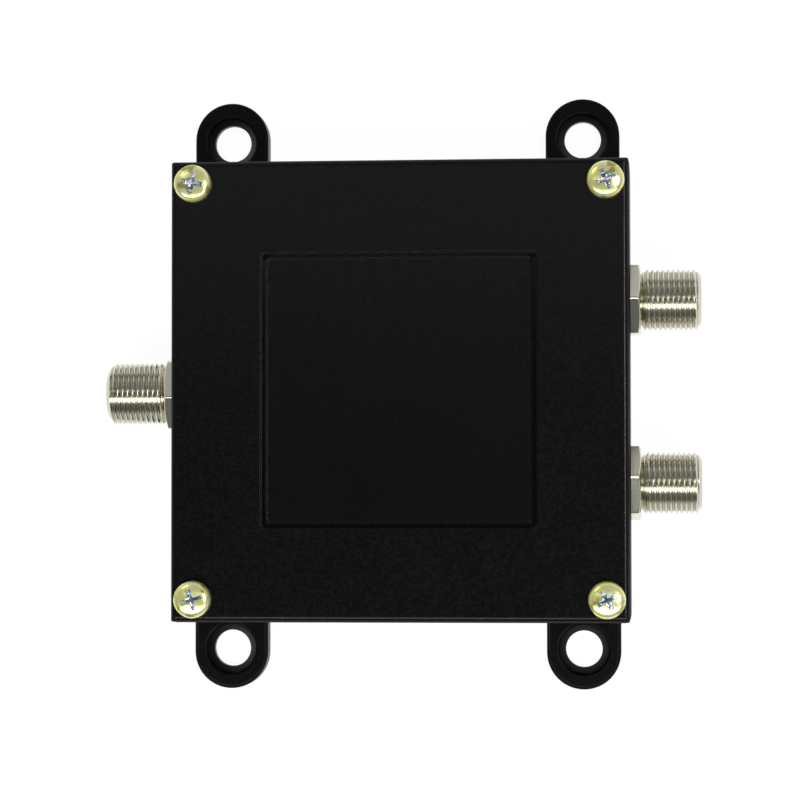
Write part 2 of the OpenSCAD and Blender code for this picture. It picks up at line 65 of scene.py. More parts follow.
forward = (aim - eye).normalized()
across = forward.cross(Vector((math.sin(roll), math.cos(roll), 0))).normalized()
upward = across.cross(forward)
camera_data = bpy.data.cameras.new("view_from_above")
camera_data.lens = lens
camera_data.sensor_width = sensor
camera_data.clip_start, camera_data.clip_end = 10 * mm, 20
camera = bpy.data.objects.new("view_from_above", camera_data)
camera.matrix_world = Matrix((across, upward, -forward)).transposed().to_4x4()
camera.location = eye
bpy.context.scene.collection.objects.link(camera)
bpy.context.scene.camera = camera
print("camera", round((aim - eye).length / mm), "mm away, lens", lens)

# %% [markdown]
# Finishes are written here as sums. A Wire is the output of a shader node that Python can add,
# subtract and multiply, so `1 - mask` or `0.4 + 0.1 * grain` makes the Math nodes by itself.
# Colours aren't numbers: a Math node would turn them grey, so they go through a Mix node.

# %% A node output that can do sums
class Wire:
    """One output of a shader node, usable in a Python sum."""

    def __init__(self, bench, socket):
        self.bench = bench
        self.socket = socket

    def sum(self, operation, first, second):
        return self.bench.node("Math", {"operation": operation}, {0: first, 1: second})

    def __add__(self, other):
        return self.sum("ADD", self, other)

    def __sub__(self, other):
        return self.sum("SUBTRACT", self, other)

    def __rsub__(self, other):
        return self.sum("SUBTRACT", other, self)

    def __mul__(self, other):
        return self.sum("MULTIPLY", self, other)

    __radd__ = __add__
    __rmul__ = __mul__

    def step(self, low, high):
        """0 up to low, 1 from high on, and smooth between; it falls where low is the larger."""
        settings = {"interpolation_type": "SMOOTHSTEP", "clamp": True}
        return self.bench.node("MapRange", settings, {"Value": self, "From Min": low, "From Max": high})


print("a Wire can be added, subtracted, multiplied and stepped")

# %% A bench that makes and joins nodes
class Bench:
    """The nodes of one material, or of the world."""

    def __init__(self, tree):
        self.tree = tree
        tree.nodes.clear()

    def node(self, kind, settings=None, sockets=None, output=0):
        made = self.tree.nodes.new("ShaderNode" + kind)
        for key, value in (settings or {}).items():
            setattr(made, key, value)
        for key, value in (sockets or {}).items():
            socket = made.inputs[key]
            if isinstance(value, Wire):
                self.tree.links.new(value.socket, socket)
            elif socket.type == "RGBA":
                socket.default_value = (*value, 1)
            else:
                socket.default_value = value
        return Wire(self, made.outputs[output]) if made.outputs else None

    def place(self, stretch=(1, 1, 1)):
        """Where a point lies on the object, in metres, with each axis stretched."""
        spot = self.node("TexCoord", output="Object")
        return self.node("VectorMath", {"operation": "MULTIPLY"}, {0: spot, 1: stretch})

    def grain(self, size, detail=2.0, stretch=(1, 1, 1)):
        """Noise whose blotches are about `size` metres across."""
        inputs = {"Vector": self.place(stretch), "Scale": 0.5 / size, "Detail": detail}
        return self.node("TexNoise", None, inputs)

    def cells(self, size):
        """Cells about `size` metres apart, as the distance to the nearest middle."""
        return self.node("TexVoronoi", None, {"Vector": self.place(), "Scale": 1 / size}, "Distance")

    def mark(self):
        """The number that the mesh code left on each point, or 0 where it left none."""
        return self.node("Attribute", {"attribute_name": "mark"}, None, "Fac")

    def blend(self, mask, first, second):
        """The first colour where the mask is 0, the second where it is 1."""
        return self.node("Mix", {"data_type": "RGBA"}, {0: mask, 6: first, 7: second}, 2)

    def bump(self, height, depth):
        return self.node("Bump", None, {"Height": height, "Distance": depth, "Strength": 1.0})


print("a Bench has", ", ".join(name for name in vars(Bench) if not name.startswith("_")))

# %% [markdown]
# Every finish of the object is one Principled shader. Some of its sockets hold one value all
# over, and the rest are fed by sums. A finish is therefore a few fixed values and a function
# that makes the sums on its bench.

# %% A finish
def finish(name, fixed, varied):
    """A material: sockets that are the same all over, and a function for those that vary."""
    material = bpy.data.materials.new(name)
    material.use_nodes = True
    bench = Bench(material.node_tree)
    shader = bench.node("BsdfPrincipled", None, {**fixed, **varied(bench)})
    bench.node("OutputMaterial", None, {"Surface": shader})
    print("finish", name, len(material.node_tree.nodes), "nodes")
    return material


metal = {"Metallic": 1.0}
print("a plain metal fixes", metal)

# %% [markdown]
# The box and its lid are die-cast and then sprayed with a textured black coat. Close up such a
# coat is a field of tiny round lumps, a third of a millimetre apart, with a fine mottle and a few
# pale specks. A picture of real paint would repeat itself, so cells give the lumps here and noise
# breaks them up. The lid's coat is smoother and glossier than the box's. The mark that the mesh
# code leaves changes the gloss: the lid's sides are matte, and its recess's ledge is glossier.

# %% The black coats
lump_gap, speck_gap = 0.34 * mm, 0.9 * mm
fine_size, mottle_size, patch_size = 0.12 * mm, 0.24 * mm, 6 * mm
coat_dark, coat_pale = (0.0008, 0.0008, 0.0009), (0.0020, 0.0020, 0.0022)


def coat(roughness, bump_depth, speck_colour):
    def varied(bench):
        lumps = bench.cells(lump_gap)
        fine = bench.grain(fine_size, 3.0)
        patches = bench.grain(patch_size, 2.0)
        mottle = bench.grain(mottle_size, 2.0).step(0.40, 0.62)
        specks = bench.cells(speck_gap).step(0.18, 0.06) * fine.step(0.46, 0.60)
        ground = bench.blend(mottle, coat_dark, coat_pale)
        marked = 0.35 * bench.mark()
        return {
            "Base Color": bench.blend(specks, ground, speck_colour),
            "Roughness": roughness + 0.08 * fine + 0.04 * patches + 0.03 * mottle + marked,
            "Normal": bench.bump(0.3 * fine - 0.5 * lumps, bump_depth),
        }
    return varied


cast_coat = finish("black_cast_coat", {"Specular IOR Level": 0.10},
                   coat(roughness=0.27, bump_depth=0.014 * mm, speck_colour=(0.007, 0.007, 0.008)))
lid_coat = finish("black_lid_coat", {"Specular IOR Level": 0.215},
                  coat(roughness=0.18, bump_depth=0.010 * mm, speck_colour=(0.011, 0.011, 0.012)))

# %% [markdown]
# The label is a thin, plain sheet of dark foil with a soft sheen. One flat black would look like
# a hole, so faint dots, too fine to see from above, break up its colour, and slow clouds vary
# its gloss, which is close to that of the lid around it.

# %% The label's foil
dot_colour, sheet_colour = (0.0038, 0.0038, 0.0039), (0.0016, 0.0016, 0.0016)


def foil(bench):
    dots = bench.cells(0.6 * mm)
    clouds = bench.grain(9 * mm, 3.0)
    fine = bench.grain(0.2 * mm)
    return {
        "Base Color": bench.blend(dots.step(0.28, 0.5), dot_colour, sheet_colour),
        "Roughness": 0.20 + 0.05 * clouds + 0.04 * dots,
        "Normal": bench.bump(dots + 0.4 * fine, 0.003 * mm),
    }


label_foil = finish("label_foil", {"Specular IOR Level": 0.20}, foil)

# %% [markdown]
# The sockets are turned from brass rod and plated with nickel, which is a warm grey. The lathe
# leaves fine rings round the axis, and all three sockets lie along X. So the noise is fine along
# X and drawn out across it. The mesh code marks how deep each point lies, and that mark mixes a
# darker, duller colour in: painted shade in the thread's roots, and a little where its ends are cut.

# %% Nickel
nickel_grey, nickel_pale, root_shade_grey = (0.67, 0.65, 0.53), (0.75, 0.73, 0.61), (0.34, 0.33, 0.275)


def plated(bench):
    rings = bench.grain(0.06 * mm, 2.0, (1, 0.03, 0.03))
    clouds = bench.grain(1.6 * mm, 3.0)
    deep = bench.mark()
    bright = bench.blend(clouds, nickel_grey, nickel_pale)
    return {
        # Painted shade: the depth mark mixes a darker grey into the thread's roots.
        "Base Color": bench.blend(0.7 * deep, bright, root_shade_grey),
        "Roughness": 0.12 + 0.08 * rings + 0.10 * deep,
        "Normal": bench.bump(rings, 0.003 * mm),
    }


nickel = finish("warm_nickel", metal, plated)

# %% [markdown]
# The lid screws are zinc-plated steel in a yellow passivation. That film is a few hundred
# nanometres thick, so its colour drifts: straw with olive patches on the head, and blue and lilac
# down in the cross. Noise of three sizes places the tints. The mark, which tells how deep in
# the cross or in the thread a point lies, leads from the yellow film to the blue one.

# %% Yellow zinc
straw, pale_straw, olive = (0.85, 0.84, 0.30), (0.84, 0.86, 0.48), (0.44, 0.42, 0.12)
blue_film, lilac_film = (0.36, 0.56, 0.61), (0.90, 0.86, 0.98)


def passivated(bench):
    fine = bench.grain(0.16 * mm, 2.0)
    drift = bench.grain(1.3 * mm, 3.0).step(0.42, 0.62)
    olive_patches = bench.grain(0.8 * mm, 1.0).step(0.56, 0.64)
    lilac_patches = bench.grain(0.45 * mm, 1.0).step(0.42, 0.58)
    deep = bench.mark()
    yellow = bench.blend(olive_patches, bench.blend(drift, straw, pale_straw), olive)
    thin_film = bench.blend(lilac_patches, blue_film, lilac_film)
    return {
        "Base Color": bench.blend(deep, yellow, thin_film),
        "Metallic": 0.60 + 0.40 * deep,
        "Roughness": 0.17 + 0.05 * fine - 0.02 * deep,
        "Normal": bench.bump(fine, 0.002 * mm),
    }


yellow_zinc = finish("yellow_zinc", {}, passivated)

# %% [markdown]
# Inside the box are the plainer finishes. They share one recipe: a metal or a plastic whose
# colour drifts between two tones, with a gloss and a bump from one noise. `fibres` below 1 draws
# that noise out across X, for parts that were turned or rolled.

# %% The inner finishes
def toned(light, dark, blotch, roughness, fine_size, depth, fibres=1.0):
    """Two tones in blotches; the sizes and the bump's depth are in millimetres."""
    def varied(bench):
        clouds = bench.grain(blotch * mm, 3.0)
        fine = bench.grain(fine_size * mm, 2.0, (1, fibres, fibres))
        return {
            "Base Color": bench.blend(clouds.step(0.3, 0.7), dark, light),
            "Roughness": roughness + 0.14 * fine,
            "Normal": bench.bump(fine, depth * mm),
        }
    return varied


spring_steel = finish("spring_steel", metal, toned(
    (0.50, 0.50, 0.51), (0.36, 0.36, 0.38), blotch=1, roughness=0.28, fine_size=0.08, depth=0.008))
contact_bronze = finish("contact_bronze", metal, toned(
    (0.86, 0.68, 0.34), (0.76, 0.57, 0.27), blotch=1, roughness=0.16, fine_size=0.05, depth=0.003,
    fibres=0.1))
white_plastic = finish("white_plastic", {"Subsurface Weight": 0.1, "Subsurface Scale": 1 * mm}, toned(
    (0.86, 0.85, 0.81), (0.80, 0.79, 0.74), blotch=2, roughness=0.34, fine_size=0.15, depth=0.006))
copper = finish("tarnished_copper", metal, toned(
    (0.78, 0.47, 0.29), (0.62, 0.35, 0.21), blotch=2, roughness=0.26, fine_size=0.07, depth=0.004,
    fibres=0.15))
tin = finish("solder_tin", metal, toned(
    (0.74, 0.74, 0.76), (0.60, 0.60, 0.62), blotch=0.7, roughness=0.14, fine_size=0.1, depth=0.008))
screw_steel = finish("screw_steel", metal, toned(
    (0.66, 0.66, 0.68), (0.52, 0.52, 0.54), blotch=1, roughness=0.20, fine_size=0.06, depth=0.004))
chip_glaze = finish("chip_glaze", {"Coat Weight": 0.5}, toned(
    (0.030, 0.030, 0.034), (0.016, 0.016, 0.019), blotch=0.6, roughness=0.22, fine_size=0.1, depth=0.006))

# %% [markdown]
# The circuit board is glass cloth in epoxy under a green solder mask. The cloth's threads print
# through as a faint square weave, half a millimetre apart. Two crossed Wave textures make it:
# one alone would give stripes. A wave's bands lie a tenth of pi apart, divided by its scale.

# %% The board's laminate
weave_pitch = 0.5 * mm
mask_green, mask_pale, thread_green = (0.012, 0.105, 0.050), (0.020, 0.150, 0.075), (0.050, 0.200, 0.110)


def laminate(bench):
    def threads(axis):
        inputs = {"Vector": bench.place(), "Scale": math.pi / 10 / weave_pitch, "Distortion": 0.4,
                  "Detail": 1.0}
        return bench.node("TexWave", {"bands_direction": axis}, inputs, "Fac")

    weave = threads("X") * threads("Y")
    clouds = bench.grain(5 * mm, 3.0)
    green = bench.blend(clouds.step(0.3, 0.7), mask_green, mask_pale)
    return {
        "Base Color": bench.blend(0.5 * weave, green, thread_green),
        "Roughness": 0.26 + 0.12 * weave,
        "Normal": bench.bump(weave, 0.004 * mm),
    }


board_laminate = finish("green_laminate", {}, laminate)

# %% [markdown]
# A mesh is points and the faces between them. Turned parts are rings of points stacked along an
# axis, so one helper takes a table of rings and joins each to the next. Flat faces with holes
# are cut into triangles by another. A Skin gathers such patches in millimetres. Where two
# patches meet they share the same points. `shape` welds those, so that the patches become one
# closed body, scales it to metres and puts it where the solids say.

# %% Patches of skin
class Skin:
    """Patches of a surface, in millimetres, with a mark on each point."""

    def __init__(self):
        self.points, self.marks, self.faces = [], [], []

    def add(self, points, faces, marks=None):
        first = len(self.points)
        self.points.extend(points)
        self.marks.extend(np.zeros(len(points)) if marks is None else marks)
        self.faces.extend([[first + i for i in face] for face in faces])

    def wrap(self, rings, marks=None, climb=0, closed=True):
        """Joins each ring to the next. A climbing ring ends `climb` rings further on than it began."""
        table = np.asarray(rings, float)
        count, columns = table.shape[:2]
        faces = []
        for left in range(count - 1):
            for column in range(columns if closed else columns - 1):
                last = column == columns - 1
                right = left + climb if last else left
                if right + 1 < count:
                    beside = 0 if last else column + 1
                    faces.append([left * columns + column, right * columns + beside,
                                  (right + 1) * columns + beside, (left + 1) * columns + column])
        spread = None if marks is None else np.broadcast_to(marks, (count, columns)).ravel()
        self.add(table.reshape(-1, 3), faces, spread)

    def flat(self, loops):
        """A flat face inside the first loop and outside the others."""
        triangles = tessellate_polygon([[Vector(p) for p in loop] for loop in loops])
        self.add(np.concatenate(loops), triangles)


print("a Skin has", ", ".join(name for name in vars(Skin) if not name.startswith("_")))

# %% Rings of points
def ring(angles, radius, height):
    """Points round the Z axis; the radius and the height may differ from angle to angle."""
    level = np.ones(len(angles))
    return np.stack([radius * np.cos(angles), radius * np.sin(angles), height * level], axis=1)


def even_angles(count):
    return np.arange(count) * 2 * math.pi / count


round_turns = even_angles(48)
print("small round parts have", len(round_turns), "points to a ring")

# %% From skin to object
weld_gap = 0.0008 * mm


def shape(name, skin, finish_used, body, replaced, places=(Matrix.Identity(4),), sharp=32):
    """One object from a skin, set down at each place, that stands for CAD nodes.

    Edges that turn by more than `sharp` degrees are shaded as edges, and the rest as curves.
    """
    draft = bmesh.new()
    layer = draft.verts.layers.float.new("mark")
    for place in places:
        corners = []
        for point, mark in zip(skin.points, skin.marks):
            corner = draft.verts.new(place @ Vector(point) * mm)
            corner[layer] = mark
            corners.append(corner)
        for face in skin.faces:
            draft.faces.new([corners[i] for i in face])
    bmesh.ops.remove_doubles(draft, verts=draft.verts, dist=weld_gap)
    bmesh.ops.recalc_face_normals(draft, faces=draft.faces)
    loose = sum(not edge.is_manifold for edge in draft.edges)
    mesh = bpy.data.meshes.new(name)
    draft.to_mesh(mesh)
    draft.free()
    mesh.shade_smooth()
    mesh.set_sharp_from_angle(angle=math.radians(sharp))
    piece = bpy.data.objects.new(name, mesh)
    bpy.context.scene.collection.objects.link(piece)
    shading = piece.modifiers.new("even_shading", "WEIGHTED_NORMAL")
    shading.keep_sharp = True
    mesh.materials.append(finish_used)
    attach(piece, body)
    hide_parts(*replaced)
    print(name, len(mesh.polygons), "faces,", loose, "open edges")


print("points closer than", round(weld_gap / mm, 4), "mm are welded")

# %% [markdown]
# A thread is one ridge wound round and round. Rows of points that climb one pitch per turn
# follow it exactly: the end of each row meets the start of the row one pitch higher, which is
# what `climb` above is for. Rows above and below the threaded length are squashed flat on to its
# ends. At each end the thread starts from a smaller radius and grows at a slope, which cuts the
# lead-in and the chamfer.

# %% A wound thread
# Where along one pitch, and how deep there, as shares. Ridge tops and roots are about a fifth of
# the pitch wide. The flanks between them stand at a real thread's 60 degrees to each other.
thread_form = [(0.0, 0.0), (0.09, 0.0), (0.11, 0.03), (0.39, 0.97), (0.41, 1.0), (0.59, 1.0),
               (0.61, 0.97), (0.89, 0.03), (0.91, 0.0)]
thread_depth = 0.52
cut_mark = 0.25


def thread(skin, angles, low, high, radius, pitch, low_end, high_end):
    """A thread between two heights. An end is the radius that it starts from and how steeply."""
    rings, marks = [], []
    share = angles / (2 * math.pi)
    for turn in range(-1, math.ceil((high - low) / pitch) + 2):
        for along, drop in thread_form:
            height = np.clip(low + pitch * (turn + along + share), low, high)
            ridge = radius - drop * thread_depth * pitch
            from_low = low_end[0] + low_end[1] * (height - low)
            from_high = high_end[0] + high_end[1] * (high - height)
            limit = np.minimum(from_low, from_high)
            rings.append(ring(angles, np.minimum(ridge, limit), height))
            # The mark is each point's depth, and a quarter where the ends are cut; on the nickel it becomes
            # painted shade.
            marks.append(np.where(limit < ridge, cut_mark, drop))
    skin.wrap(rings, np.array(marks), climb=len(thread_form))


print("a thread has", len(thread_form), "rows to a pitch")

# %% [markdown]
# Each socket is one turned piece: a bore, a thread for the nut inside the wall, a six-sided flange
# to hold it by, a short groove and the 3/8-32 thread for the cable's plug. It is drawn standing
# up, with the wall's outer face at zero, then laid on its side against the wall. Each one is
# turned to where its nut happened to stop.

# %% Where the sockets sit
wall_face_x, axis_height = 35.5, 9
# The side of the box, the place along that side, and the turn in degrees.
sockets = {"input": (-1, 0, -8), "output": (1, 14.25, 0), "tap": (1, -14.25, -10)}


def at_socket(name):
    side, y, turn = sockets[name]
    on_wall = Matrix.Translation((side * wall_face_x, y, axis_height))
    lying = Matrix.Rotation(side * math.pi / 2, 4, "Y")
    return on_wall @ lying @ Matrix.Rotation(math.radians(turn), 4, "Z")


print("sockets:", ", ".join(sockets))

# %% A socket's sizes
# In millimetres, with heights counted from the wall's outer face.
socket_pitch, plug_radius, nut_radius = 0.79375, 4.7625, 4.49
reach, rear_end = 11, -5.8
bore, mouth, mouth_bend = 2.8, 0.3, 0.05
rear_root, rear_chamfer = 4.05, 0.2
flange_flats, flange_thick, flange_edge = 10.7, 1.6, 0.07
cone_start, cone_slope = 5.28, 0.32
groove_radius, groove_fillet = 4.0, 0.1
groove_end = flange_thick + groove_fillet
tip_radius = 3.7
print("a socket is", round(reach - rear_end, 2), "mm long and stands out", reach, "mm")

# %% [markdown]
# The flange is a hexagon whose corners are turned off by a shallow cone, as on a lathe, so each
# ends in a low arc. A hexagon is a circle whose radius changes with the angle, so it fits in the
# same rings as the round parts. Each ring has a few more points beside the hexagon's corners.

# %% The flange's hexagon
corner_radius, corner_blend = 6.12, 0.10
corner_offsets = np.radians([-2.8, -1.9, -0.9, 0.9, 1.9, 2.8])


def smooth_least(first, second, blend=0.05):
    """The smaller of two numbers, with the corner between them rounded."""
    near = np.clip(0.5 + 0.5 * (second - first) / blend, 0, 1)
    return second + (first - second) * near - blend * near * (1 - near)


def cone(radius):
    """The height of the flange's outer face at a radius."""
    return flange_thick - np.maximum(radius - cone_start, 0) * cone_slope


corners = np.radians(np.arange(0, 360, 60))
beside_corners = [(corners + offset) % (2 * math.pi) for offset in corner_offsets]
socket_angles = np.unique(np.round(np.concatenate([even_angles(96)] + beside_corners), 6))
from_flat = (socket_angles % math.radians(60)) - math.radians(30)
hexagon = smooth_least(flange_flats / 2 / np.cos(from_flat), corner_radius, corner_blend)
print("hexagon from", round(hexagon.min(), 2), "to", round(hexagon.max(), 2), "mm from its middle")

# %% [markdown]
# Whatever is turned follows from a profile, a list of radii and heights. The two threads come in
# between. Each starts and ends on the last points of the profile next to it, so that all of it
# welds into one closed body, which is then set down three times.

# %% The three sockets
def turned(skin, profile):
    """A surface turned round the axis from a list of radii and heights."""
    skin.wrap([ring(socket_angles, radius, height) for radius, height in profile])


bore_profile = [(bore + mouth, reach), (bore + mouth_bend, reach - mouth + mouth_bend),
                (bore, reach - mouth - mouth_bend), (bore, 0), (bore, rear_end + rear_chamfer),
                (bore + rear_chamfer, rear_end), (rear_root, rear_end)]
flange_profile = [(rear_root, 0), (hexagon - flange_edge, 0), (hexagon, flange_edge),
                  (hexagon, cone(hexagon) - flange_edge),
                  (hexagon - flange_edge, cone(hexagon - flange_edge)), (cone_start, flange_thick),
                  (groove_radius + groove_fillet, flange_thick), (groove_radius, groove_end)]

socket_skin = Skin()
turned(socket_skin, bore_profile)
thread(socket_skin, socket_angles, rear_end, 0, nut_radius, socket_pitch,
       low_end=(rear_root, 1.0), high_end=(rear_root, 1.5))
turned(socket_skin, flange_profile)
thread(socket_skin, socket_angles, groove_end, reach, plug_radius, socket_pitch,
       low_end=(groove_radius, 1.2), high_end=(tip_radius, 1.3))
turned(socket_skin, [(tip_radius, reach), (bore + mouth, reach)])
for name in sockets:
    shape(name + "_socket", socket_skin, nickel, "box", [name + "_shell"],
          [at_socket(name)], sharp=28)

# %% [markdown]
# A pan-head screw is forged: a blank is squeezed into a low head, and a punch presses the cross
# into it. Seen from above the cross is what catches the eye, so its arms need crisp walls. The
# recess is a depth to take off each point of the head: steep walls along the arms, ends that
# slope down to the middle, and a cone in the centre.

# %% The cross in a screw's head
wall_slope, arm_end_slope, core_slope, core_share = 9, 2.1, 3.2, 0.92


def recess_depth(u, v, arm_length, arm_width, deepest):
    """How deep the cross is at a point, with arms along u and v."""
    depth = np.zeros_like(u)
    for along, aside in ((np.abs(u), np.abs(v)), (np.abs(v), np.abs(u))):
        end = arm_end_slope * (arm_length / 2 - along)
        side = wall_slope * (arm_width / 2 - aside)
        depth = np.maximum(depth, smooth_least(smooth_least(end, side), deepest))
    core = smooth_least(core_slope * (core_share * arm_width - np.hypot(u, v)), deepest)
    return np.maximum(depth, core)


print("a cross's walls slope", wall_slope, "to 1, its arms' ends", arm_end_slope, "to 1")

# %% [markdown]
# The head's top is a square grid of points. Its lines run along the cross's arms and lie close
# together at their walls, and towards the rim the squares are drawn in until they're circles.
# The crown falls only a little and then turns over sharply at the rim. The cross is half the
# head's height deep: light still reaches its middle, which shines in the photograph.

# %% The top of a screw's head
side_share, crown_fall, recess_share = 0.33, 0.24, 0.50
cone_part, bowl_part, rim_power = 0.18, 0.82, 14
round_from = 0.45
full_mark_depth = 0.5


def head_lines(radius, arm_length, arm_width):
    """Grid lines, close together at the arms' walls and ends and at the rim."""
    half, tip = arm_width / 2, arm_length / 2
    wall = half + np.array([-0.2, -0.15, -0.11, -0.08, -0.05, -0.025, 0, 0.02, 0.05])
    middle = np.array([0, 0.06, 0.12])
    arm = np.arange(half + 0.12, tip - 0.12, 0.11)
    end = tip + np.array([-0.08, -0.04, 0, 0.03, 0.07])
    rim = radius * np.sin(np.linspace(math.asin((tip + 0.14) / radius), math.pi / 2, 18))
    lines = np.concatenate([middle[middle < wall[0]], wall, arm, end, rim])
    return np.concatenate([-lines[:0:-1], lines])


def head_top(skin, radius, height, arm_length, arm_width):
    """Adds the crown with its cross, and gives the points round its rim, anticlockwise."""
    side_top = side_share * height
    lines = head_lines(radius, arm_length, arm_width)
    u, v = np.meshgrid(lines, lines, indexing="ij")
    square_radius = np.maximum(np.abs(u), np.abs(v))
    from_middle = np.maximum(np.hypot(u, v), 1e-9)
    rounding = np.clip((square_radius / radius - round_from) / (1 - round_from), 0, 1)
    shrink = 1 - rounding + rounding * square_radius / from_middle
    x, y = u * shrink, v * shrink
    out = np.clip(np.hypot(x, y) / radius, 0, 1)
    crown = height - crown_fall * height * (cone_part * out + bowl_part * out ** 2)
    dome = side_top + (crown - side_top) * (1 - out ** rim_power) ** 0.5
    depth = recess_depth(u, v, arm_length, arm_width, recess_share * height)
    marks = np.clip(depth / full_mark_depth, 0, 1)
    skin.wrap(np.stack([x, y, dome - depth], axis=2), marks, closed=False)
    last = len(lines) - 1
    there, back = range(last), range(last, 0, -1)
    border = [(i, 0) for i in there] + [(last, j) for j in there]
    border += [(i, last) for i in back] + [(0, j) for j in back]
    return np.array([(x[i, j], y[i, j]) for i, j in border])


print("a head's side reaches", side_share, "of its height, and its cross goes", recess_share, "down")

# %% [markdown]
# Below the head come its flat seat, a small fillet, the plain shank and the thread. The tip is
# chamfered, so that the screw finds its hole. Both kinds of screw are this one shape in two
# sizes, so each is made once and set down wherever it's needed.

# %% A whole screw
foot_height, foot_share = 0.1, 0.97
neck_gap, neck_fillet, plain_share, tip_chamfer = 0.01, 0.15, 0.3, 0.5


def pan_screw(diameter, length, pitch, head_diameter, head_height, arm_length, arm_width):
    """A screw standing on its tip, with the seat of its head at zero."""
    skin = Skin()
    rim = head_top(skin, head_diameter / 2, head_height, arm_length, arm_width)

    def rim_at(share, height):
        return np.column_stack([rim * share, np.full(len(rim), height)])

    seat = rim_at(foot_share, 0)
    skin.wrap([rim_at(1, side_share * head_height), rim_at(1, foot_height), seat])
    neck = diameter / 2 - thread_depth * pitch - neck_gap
    plain = plain_share * diameter
    shoulder = ring(round_turns, neck + neck_fillet, 0)
    skin.flat([seat, shoulder])
    skin.wrap([shoulder, ring(round_turns, neck + neck_fillet / 3, -neck_fillet / 3),
               ring(round_turns, neck, -neck_fillet), ring(round_turns, neck, -plain)])
    tip = diameter / 2 - tip_chamfer
    thread(skin, round_turns, -length, -plain, diameter / 2, pitch,
           low_end=(tip, 1.0), high_end=(neck, 1.2))
    skin.flat([ring(round_turns, tip, -length)])
    return skin


def standing(x, y, height, degrees):
    """Where a screw stands, and how far it is turned."""
    return Matrix.Translation((x, y, height)) @ Matrix.Rotation(math.radians(degrees), 4, "Z")


lid_screw = pan_screw(diameter=3, length=8, pitch=0.5, head_diameter=5.8, head_height=2.2,
                      arm_length=3.3, arm_width=0.78)
board_screw = pan_screw(diameter=2.5, length=5, pitch=0.45, head_diameter=4.5, head_height=1.6,
                        arm_length=2.6, arm_width=0.6)
print("a lid screw's skin has", len(lid_screw.faces), "faces, a board screw's", len(board_screw.faces))

# %% [markdown]
# Four screws hold the lid, one in each corner post. No two crosses stop at the same angle, and
# each has the angle that the photograph shows. Each screw is a body of its own, which rises out
# of its post. The four small ones on the board stay with the box, as one piece.

# %% The lid's screws
lid_top = 18
post_x, post_y = 31.9, 32.15
cross_turns = {"front_left": 20, "front_right": 30, "back_left": 80, "back_right": 26}
for corner, turn in cross_turns.items():
    x = post_x if "right" in corner else -post_x
    y = post_y if "back" in corner else -post_y
    shape("screw_" + corner + "_zinc", lid_screw, yellow_zinc, "screw_" + corner,
          ["lid_screw_" + corner], [standing(x, y, lid_top, turn)], sharp=50)

# %% The board's screws
board_top, board_screw_x, board_screw_y = 8.43, 25.4, 24.95
places = [standing(side_x * board_screw_x, side_y * board_screw_y, board_top, 20 + 30 * side_x + 15 * side_y)
          for side_x in (-1, 1) for side_y in (-1, 1)]
shape("board_fixing_screws", board_screw, screw_steel, "box", ["board_screws"],
      places, sharp=50)

# %% [markdown]
# The lid is a flat casting with a rounded top edge, a square recess for its label, and four low
# bars below that locate it inside the walls. Loops of points with the same number of corners
# are stacked for the outline and the recess, and flat faces with holes close what is left.

# %% Rounded loops
corner_steps = 6


def loop(width, depth, corner, height, centre=(0, 0)):
    """A rectangle with round corners, anticlockwise."""
    points = []
    for side_x, side_y, start in ((1, 1, 0), (-1, 1, 90), (-1, -1, 180), (1, -1, 270)):
        for turn in np.radians(np.linspace(start, start + 90, corner_steps + 1)):
            points.append((centre[0] + side_x * (width / 2 - corner) + corner * math.cos(turn),
                           centre[1] + side_y * (depth / 2 - corner) + corner * math.sin(turn), height))
    return np.array(points)


def square(width, corner, height):
    return loop(width, width, corner, height)


def quarter(steps):
    """Sine and 1 - cosine of even steps from 0 to 90 degrees."""
    angles = np.linspace(0, math.pi / 2, steps + 1)
    return list(zip(np.sin(angles), 1 - np.cos(angles)))


print("a rounded loop has", len(square(1, 0.1, 0)), "points")

# %% [markdown]
# A small round on every edge matters more than its size suggests, since it's the only part of a
# black box that catches the light. A narrow flat band next to each round keeps the big flat
# face's shading perfectly even. The lid's sides carry the mark that turns the coat matte.

# %% The lid's outline
lid_width, lid_depth, lid_bottom = 70.8, 71.3, 16
lid_corner, least_corner = 0.36, 0.02
bottom_round, edge_round, band = 0.1, 0.85, 0.35


def lid_loop(inset, corner, height):
    return loop(lid_width - 2 * inset, lid_depth - 2 * inset, corner, height)


outline = [lid_loop(bottom_round, lid_corner - bottom_round, lid_bottom),
           lid_loop(0, lid_corner, lid_bottom + bottom_round)]
for rise, inward in quarter(8):
    corner = max(lid_corner - edge_round * inward, least_corner)
    outline.append(lid_loop(edge_round * inward, corner, lid_top - edge_round + edge_round * rise))
outline.append(lid_loop(edge_round + band, least_corner, lid_top))

# The mark is whole on the sides and fades out round the middle of the rounded edge.
side_marks = np.array([1] * 6 + [0.6, 0.2] + [0] * 4)
lid_skin = Skin()
lid_skin.wrap(outline, side_marks[:, None])
print("the outline has", len(outline), "loops")

# %% [markdown]
# The recess goes down in two small steps with a ledge between them, each step with its edge and
# its foot rounded, as a mould leaves them. One step's section is worked out once, as how far in
# and how far down each loop lies, and used for both.

# %% The lid's recess
# Each step's width and its corners' radius.
recess_steps = [(43.0, 0.8), (41.16, 0.6)]
step_drop, step_round, wall_angle = 0.25, 0.15, 70
recess_floor = lid_top - len(recess_steps) * step_drop
ledge_mark = -0.32

bends = np.radians(np.linspace(0, wall_angle, 6))
edge_run, edge_drop = step_round * np.sin(bends), step_round * (1 - np.cos(bends))
step_run = 2 * edge_run[-1] + (step_drop - 2 * edge_drop[-1]) / math.tan(bends[-1])
runs = np.concatenate([edge_run, step_run - edge_run[::-1]])
drops = np.concatenate([edge_drop, step_drop - edge_drop[::-1]])

